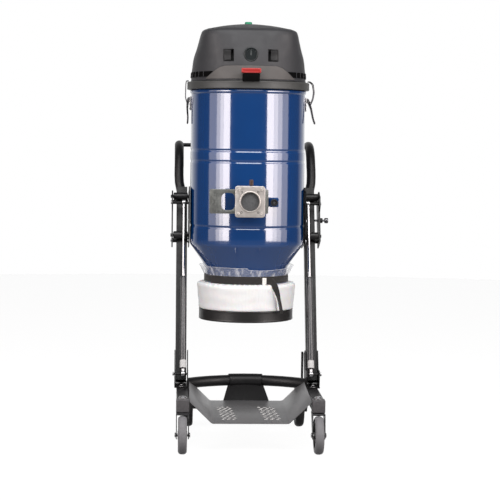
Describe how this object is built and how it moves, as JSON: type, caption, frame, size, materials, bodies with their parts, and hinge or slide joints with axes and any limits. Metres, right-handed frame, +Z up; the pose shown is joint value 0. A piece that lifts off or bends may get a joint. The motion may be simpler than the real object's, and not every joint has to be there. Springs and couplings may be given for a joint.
{
  "type": "dust collector",
  "caption": "Upright dust extractor: blue steel tank with cone and bag outlet, hinged motor hood and slide-gate inlet, on a lifting frame with gas struts, casters, wheels and a bag tray.",
  "frame": {"origin": "on the floor under the centre of the outer box, lock knob included: the tank's axis is 14.5 mm towards -X and 104.5 mm towards +Y", "axes": "+Z up, the inlet faces -Y, +X is the operator's right when facing the inlet"},
  "size_m": [0.565, 0.8376, 1.441],
  "materials": {
    "tank_blue": "high gloss deep blue powder coat",
    "frame_black": "satin black powder coat",
    "hood_grey": "fine textured charcoal moulding",
    "fascia_grey": "satin warm grey panel",
    "rim_grey": "satin grey moulding",
    "black_plastic": "satin black",
    "red_plastic": "glossy red",
    "green_plastic": "glossy green",
    "tray_steel": "grey hammered coat",
    "zinc": "zinc plated",
    "strut_grey": "satin dark grey",
    "chrome": "polished",
    "flange_alu": "cast, lightly machined",
    "gate_zinc": "galvanised sheet",
    "grey_tyre": "non-marking grey rubber",
    "black_tyre": "black rubber",
    "bag_white": "folded white bag film",
    "film_clear": "thin translucent film",
    "strap_black": "woven webbing",
    "filter_white": "pleated filter felt",
    "motor_metal": "cast motor housing",
    "dial_black": "dark dial"
  },
  "bodies": {
    "frame": {"base_tube_L": "frame_black", "base_tube_R": "frame_black", "foot_bracket_L": "frame_black", "foot_bracket_R": "frame_black", "upright_L": "frame_black", "upright_R": "frame_black", "handle": "frame_black", "handle_grip": "black_plastic", "cross_tube": "frame_black", "tray_hanger": "frame_black", "tray": "tray_steel", "rear_axle": "zinc", "strut_cylinder_L": "strut_grey", "strut_cylinder_R": "strut_grey", "caster_bolt_L": "zinc", "caster_bolt_R": "zinc"},
    "tank": {"tank_shell": "tank_blue", "inlet_flange": "flange_alu", "carriage_L": "frame_black", "carriage_R": "frame_black", "strut_rod_L": "chrome", "strut_rod_R": "chrome", "film_collar": "film_clear", "bag_strap": "strap_black", "bag_cassette": "bag_white", "cassette_ring": "black_plastic", "head_base": "rim_grey", "motor_left": "motor_metal", "motor_right": "motor_metal", "main_filter": "filter_white", "hepa_filter": "filter_white"},
    "hood": {"hood": "hood_grey", "fascia_panel": "fascia_grey", "switch_bezel_L": "black_plastic", "switch_bezel_R": "black_plastic", "gauge_case": "dial_black", "hood_latch_body": "black_plastic"},
    "caster_fork_L": {"caster_fork_L": "zinc"},
    "caster_fork_R": {"caster_fork_R": "zinc"},
    "caster_wheel_L": {"caster_wheel_L": "grey_tyre"},
    "caster_wheel_R": {"caster_wheel_R": "grey_tyre"},
    "rear_wheel_L": {"rear_wheel_L": "black_tyre"},
    "rear_wheel_R": {"rear_wheel_R": "black_tyre"},
    "guide_roller_low_L": {"guide_roller_low_L": "black_plastic"},
    "guide_roller_low_R": {"guide_roller_low_R": "black_plastic"},
    "guide_roller_top_L": {"guide_roller_top_L": "black_plastic"},
    "guide_roller_top_R": {"guide_roller_top_R": "black_plastic"},
    "hood_latch_lever": {"hood_latch_lever": "red_plastic"},
    "rocker_L": {"rocker_L": "black_plastic"},
    "rocker_R": {"rocker_R": "black_plastic"},
    "gauge_needle": {"gauge_needle": "red_plastic"},
    "pulse_button": {"pulse_button": "green_plastic"},
    "gate_slide": {"gate_slide": "gate_zinc"},
    "gate_knob": {"gate_knob": "black_plastic"},
    "hose_lock_pin": {"hose_lock_pin": "black_plastic"},
    "height_lock_pin": {"height_lock_pin": "zinc"},
    "latch_lever_L": {"latch_lever_L": "black_plastic"},
    "latch_lever_R": {"latch_lever_R": "black_plastic"},
    "latch_bail_L": {"latch_bail_L": "zinc"},
    "latch_bail_R": {"latch_bail_R": "zinc"}
  },
  "joints": [
    {"name": "tank_lift", "type": "slide", "parent": "frame", "child": "tank", "axis": [0, 0.3584, 0.9336], "range_m": [-0.2, 0]},
    {"name": "caster_swivel_L", "type": "hinge", "parent": "frame", "child": "caster_fork_L", "pos_m": [-0.2375, -0.3205, 0.13], "axis": [0, 0, 1], "continuous": true},
    {"name": "caster_roll_L", "type": "hinge", "parent": "caster_fork_L", "child": "caster_wheel_L", "pos_m": [-0.2375, -0.3555, 0.0625], "axis": [1, 0, 0], "continuous": true},
    {"name": "rear_roll_L", "type": "hinge", "parent": "frame", "child": "rear_wheel_L", "pos_m": [-0.2135, 0.1795, 0.075], "axis": [1, 0, 0], "continuous": true},
    {"name": "roller_low_L", "type": "hinge", "parent": "tank", "child": "guide_roller_low_L", "pos_m": [-0.2469, 0.14986, 0.68751], "axis": [1, 0, 0], "continuous": true},
    {"name": "roller_top_L", "type": "hinge", "parent": "tank", "child": "guide_roller_top_L", "pos_m": [-0.2469, 0.20182, 0.82288], "axis": [1, 0, 0], "continuous": true},
    {"name": "caster_swivel_R", "type": "hinge", "parent": "frame", "child": "caster_fork_R", "pos_m": [0.2085, -0.3205, 0.13], "axis": [0, 0, 1], "continuous": true},
    {"name": "caster_roll_R", "type": "hinge", "parent": "caster_fork_R", "child": "caster_wheel_R", "pos_m": [0.2085, -0.3555, 0.0625], "axis": [1, 0, 0], "continuous": true},
    {"name": "rear_roll_R", "type": "hinge", "parent": "frame", "child": "rear_wheel_R", "pos_m": [0.1845, 0.1795, 0.075], "axis": [1, 0, 0], "continuous": true},
    {"name": "roller_low_R", "type": "hinge", "parent": "tank", "child": "guide_roller_low_R", "pos_m": [0.2179, 0.14986, 0.68751], "axis": [1, 0, 0], "continuous": true},
    {"name": "roller_top_R", "type": "hinge", "parent": "tank", "child": "guide_roller_top_R", "pos_m": [0.2179, 0.20182, 0.82288], "axis": [1, 0, 0], "continuous": true},
    {"name": "hood_hinge", "type": "hinge", "parent": "tank", "child": "hood", "pos_m": [-0.0145, 0.316, 1.236], "axis": [-1, 0, 0], "range_deg": [0, 60]},
    {"name": "hood_latch", "type": "hinge", "parent": "hood", "child": "hood_latch_lever", "pos_m": [-0.0145, -0.1015, 1.266], "axis": [-1, 0, 0], "range_deg": [0, 40]},
    {"name": "rocker_L_tilt", "type": "hinge", "parent": "hood", "child": "rocker_L", "pos_m": [-0.0905, -0.0605, 1.313], "axis": [1, 0, 0], "range_deg": [-8, 8]},
    {"name": "rocker_R_tilt", "type": "hinge", "parent": "hood", "child": "rocker_R", "pos_m": [0.0615, -0.0605, 1.313], "axis": [1, 0, 0], "range_deg": [-8, 8]},
    {"name": "gauge_sweep", "type": "hinge", "parent": "hood", "child": "gauge_needle", "pos_m": [-0.0145, -0.0795, 1.316], "axis": [0, 1, 0], "range_deg": [-60, 60], "stiffness_Nm_per_rad": 0.00002},
    {"name": "pulse_press", "type": "slide", "parent": "hood", "child": "pulse_button", "axis": [0, 0, -1], "range_m": [0, 0.005], "stiffness_N_per_m": 400, "springref_m": -0.002},
    {"name": "gate_travel", "type": "slide", "parent": "tank", "child": "gate_slide", "axis": [1, 0, 0], "range_m": [-0.095, 0]},
    {"name": "gate_knob_turn", "type": "hinge", "parent": "tank", "child": "gate_knob", "pos_m": [0.0675, -0.1275, 0.816], "axis": [0, 1, 0], "range_deg": [0, 180]},
    {"name": "hose_lock_lift", "type": "slide", "parent": "tank", "child": "hose_lock_pin", "axis": [0, 0, 1], "range_m": [0, 0.008], "stiffness_N_per_m": 300, "springref_m": -0.004},
    {"name": "height_lock", "type": "slide", "parent": "tank", "child": "height_lock_pin", "axis": [1, 0, 0], "range_m": [-0.006, 0]},
    {"name": "side_latch_L", "type": "hinge", "parent": "tank", "child": "latch_lever_L", "pos_m": [-0.224, 0.1045, 1.166], "axis": [0, 1, 0], "range_deg": [0, 86]},
    {"name": "bail_L", "type": "hinge", "parent": "latch_lever_L", "child": "latch_bail_L", "pos_m": [-0.226, 0.1045, 1.146], "axis": [0, 1, 0], "range_deg": [-86, 0]},
    {"name": "side_latch_R", "type": "hinge", "parent": "tank", "child": "latch_lever_R", "pos_m": [0.195, 0.1045, 1.166], "axis": [0, -1, 0], "range_deg": [-16, 70]},
    {"name": "bail_R", "type": "hinge", "parent": "latch_lever_R", "child": "latch_bail_R", "pos_m": [0.20244, 0.1045, 1.14733], "axis": [0, -1, 0], "range_deg": [-70, 16]}
  ],
  "couplings": [
    {"joint": "bail_L", "follows": "side_latch_L", "ratio": -1},
    {"joint": "bail_R", "follows": "side_latch_R", "ratio": -1},
    {"joint": "roller_low_L", "follows": "tank_lift", "rad_per_m": -71.429},
    {"joint": "roller_low_R", "follows": "tank_lift", "rad_per_m": -71.429},
    {"joint": "roller_top_L", "follows": "tank_lift", "rad_per_m": -71.429},
    {"joint": "roller_top_R", "follows": "tank_lift", "rad_per_m": -71.429}
  ]
}
